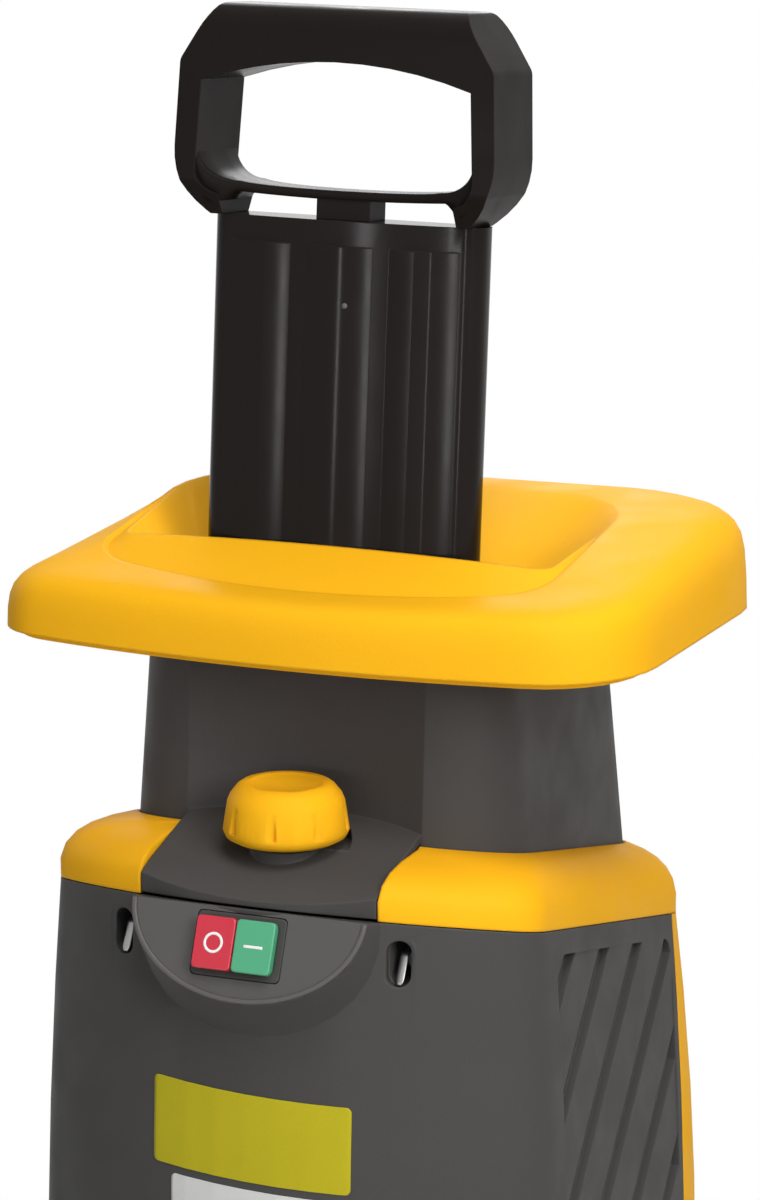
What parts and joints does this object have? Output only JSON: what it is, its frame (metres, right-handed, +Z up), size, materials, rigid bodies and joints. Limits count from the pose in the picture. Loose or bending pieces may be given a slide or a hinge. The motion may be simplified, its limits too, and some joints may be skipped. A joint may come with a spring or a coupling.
{
  "type": "electric garden shredder",
  "caption": "Electric garden shredder: plunger with loop handle in a wide funnel hopper that tilts back for cleaning, motor housing with push buttons, knife disc, tubular wheeled stand.",
  "frame": {"origin": "on the ground below the drive shaft, at the middle of the bounding box's base", "axes": "+X to the machine's left-to-right as seen from the front, -Y towards the front with the buttons, +Z up"},
  "size_m": [0.379, 0.43, 1.0791],
  "materials": {
    "yellow_plastic": "satin moulded plastic",
    "grey_plastic": "fine textured moulded plastic",
    "black_plastic": "satin black moulded plastic",
    "red_plastic": "gloss red button plastic",
    "green_plastic": "gloss green button plastic",
    "steel": "zinc plated steel",
    "knife_steel": "ground tool steel",
    "cast_metal": "die cast aluminium",
    "motor_steel": "painted motor steel",
    "copper": "copper windings and segments",
    "painted_tube": "black powder coat on steel tube",
    "rubber": "moulded rubber",
    "tyre_rubber": "moulded rubber tread"
  },
  "bodies": {
    "housing": {"front_shell": "grey_plastic", "rear_shell": "yellow_plastic", "top_cover": "yellow_plastic", "base_plate": "grey_plastic", "shell_screws": "steel", "switch_box": "grey_plastic", "hinge_pin": "steel", "cutting_bowl": "black_plastic", "breaker_bar": "steel", "upper_bearing": "steel", "lower_bearing": "steel", "motor_flange": "cast_metal", "motor_screws": "steel", "motor_can": "motor_steel", "motor_end_cap": "cast_metal", "stator": "motor_steel", "brush_holders": "copper", "discharge_chute": "black_plastic", "interlock_switch": "black_plastic", "power_inlet": "black_plastic", "left_frame": "painted_tube", "right_frame": "painted_tube", "frame_bolts": "steel", "foot_bar": "painted_tube", "foot_sleeves": "rubber", "axle": "steel", "wheel_caps": "black_plastic"},
    "hopper": {"hopper_rim": "yellow_plastic", "hopper_neck": "grey_plastic", "rim_screws": "steel", "knob_collar": "black_plastic"},
    "plunger": {"plunger_body": "black_plastic", "plunger_handle": "black_plastic", "plunger_screws": "steel"},
    "knob": {"locking_knob": "yellow_plastic", "knob_stud": "steel"},
    "stop": {"stop_button": "red_plastic"},
    "start": {"start_button": "green_plastic"},
    "reset": {"reset_button": "red_plastic"},
    "rotor": {"knife_disc": "steel", "knives": "knife_steel", "knife_screws": "steel", "disc_bolt": "steel", "drive_shaft": "steel", "armature": "copper", "commutator": "copper", "cooling_fan": "black_plastic"},
    "wheel_left": {"left_wheel": "black_plastic", "left_tyre": "tyre_rubber"},
    "wheel_right": {"right_wheel": "black_plastic", "right_tyre": "tyre_rubber"}
  },
  "joints": [
    {"name": "hopper_tilt", "type": "hinge", "parent": "housing", "child": "hopper", "pos_m": [0, 0.138, 0.57641], "axis": [-1, 0, 0], "range_deg": [0, 80]},
    {"name": "plunger_slide", "type": "slide", "parent": "hopper", "child": "plunger", "axis": [0, 0.0872, 0.9962], "range_m": [-0.12, 0.02]},
    {"name": "knob_turn", "type": "hinge", "parent": "hopper", "child": "knob", "pos_m": [0, -0.133, 0.63], "axis": [0, 0, 1], "continuous": true},
    {"name": "stop_press", "type": "slide", "parent": "housing", "child": "stop", "axis": [0, 0.9272, -0.3746], "range_m": [0, 0.0026], "stiffness_N_per_m": 600, "springref_m": -0.003},
    {"name": "start_press", "type": "slide", "parent": "housing", "child": "start", "axis": [0, 0.9272, -0.3746], "range_m": [0, 0.0026], "stiffness_N_per_m": 600, "springref_m": -0.003},
    {"name": "reset_press", "type": "slide", "parent": "housing", "child": "reset", "axis": [0, -1, 0], "range_m": [0, 0.003], "stiffness_N_per_m": 600, "springref_m": -0.003},
    {"name": "cutter_spin", "type": "hinge", "parent": "housing", "child": "rotor", "pos_m": [0, 0, 0.534], "axis": [0, 0, 1], "continuous": true},
    {"name": "left_wheel_spin", "type": "hinge", "parent": "housing", "child": "wheel_left", "pos_m": [-0.148, 0.14, 0.075], "axis": [1, 0, 0], "continuous": true},
    {"name": "right_wheel_spin", "type": "hinge", "parent": "housing", "child": "wheel_right", "pos_m": [0.148, 0.14, 0.075], "axis": [1, 0, 0], "continuous": true}
  ]
}
